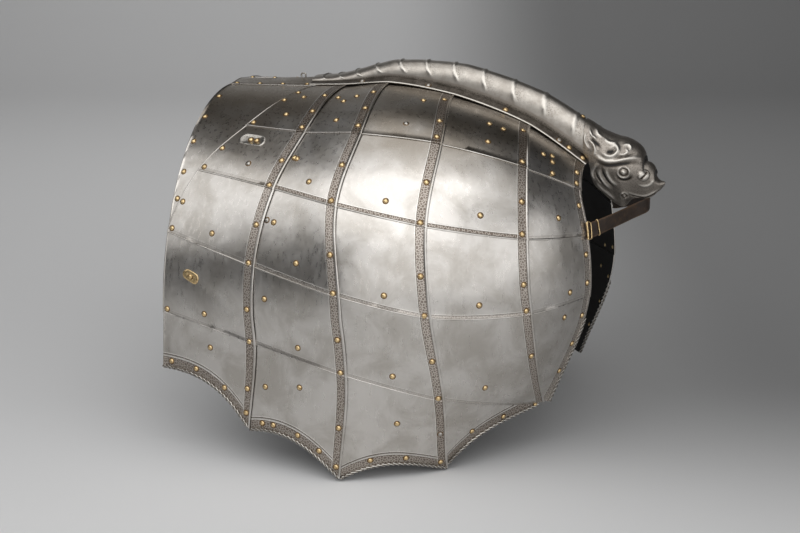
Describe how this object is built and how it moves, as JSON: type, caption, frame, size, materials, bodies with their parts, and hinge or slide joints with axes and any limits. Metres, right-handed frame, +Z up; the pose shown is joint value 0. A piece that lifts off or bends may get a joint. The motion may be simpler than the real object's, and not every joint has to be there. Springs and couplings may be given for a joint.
{
  "type": "horse crupper armour",
  "caption": "Open steel shell for a horse's hindquarters: riveted lames with a scalloped hem, a hollow scaled tail guard that ends in a sea monster's head, and a buckled tail strap.",
  "frame": {"origin": "on the ground under the middle of the shell's length and width", "axes": "+X to the horse's rear, -Y to the horse's left side, +Z up from the hem tips to the ridge"},
  "size_m": [0.8684, 0.7972, 0.7142],
  "materials": {
    "steel": "polished by hand, pitted and stained",
    "embossed_steel": "embossed, dark in the hollows, bright on the edges",
    "brass": "worn and dull, dark at the edges",
    "leather": "brown, worn smooth"
  },
  "bodies": {
    "root": {"left_column1_lame1": "steel", "left_column1_lame2": "steel", "left_column1_lame3": "steel", "left_column1_lame4": "steel", "left_column1_lame5": "steel", "left_column2_lame1": "steel", "left_column2_lame2": "steel", "left_column2_lame3": "steel", "left_column2_lame4": "steel", "left_column2_lame5": "steel", "left_column3_lame1": "steel", "left_column3_lame2": "steel", "left_column3_lame3": "steel", "left_column3_lame4": "steel", "left_column3_lame5": "steel", "left_column4_lame1": "steel", "left_column4_lame2": "steel", "left_column4_lame3": "steel", "left_column4_lame4": "steel", "left_column4_lame5": "steel", "left_column5_lame1": "steel", "left_column5_lame2": "steel", "left_column5_lame3": "steel", "left_column5_lame4": "steel", "right_column1_lame1": "steel", "right_column1_lame2": "steel", "right_column1_lame3": "steel", "right_column1_lame4": "steel", "right_column1_lame5": "steel", "right_column2_lame1": "steel", "right_column2_lame2": "steel", "right_column2_lame3": "steel", "right_column2_lame4": "steel", "right_column2_lame5": "steel", "right_column3_lame1": "steel", "right_column3_lame2": "steel", "right_column3_lame3": "steel", "right_column3_lame4": "steel", "right_column3_lame5": "steel", "right_column4_lame1": "steel", "right_column4_lame2": "steel", "right_column4_lame3": "steel", "right_column4_lame4": "steel", "right_column4_lame5": "steel", "right_column5_lame1": "steel", "right_column5_lame2": "steel", "right_column5_lame3": "steel", "right_column5_lame4": "steel", "front_plate": "steel", "spine_strip": "steel", "spine_staple": "steel", "left_oval_plate": "steel", "left_slot_plate": "brass", "tail_guard": "embossed_steel", "tail_guard_head": "embossed_steel", "tail_strap": "leather", "strap_buckle": "brass", "strap_keeper": "brass"}
  },
  "joints": []
}
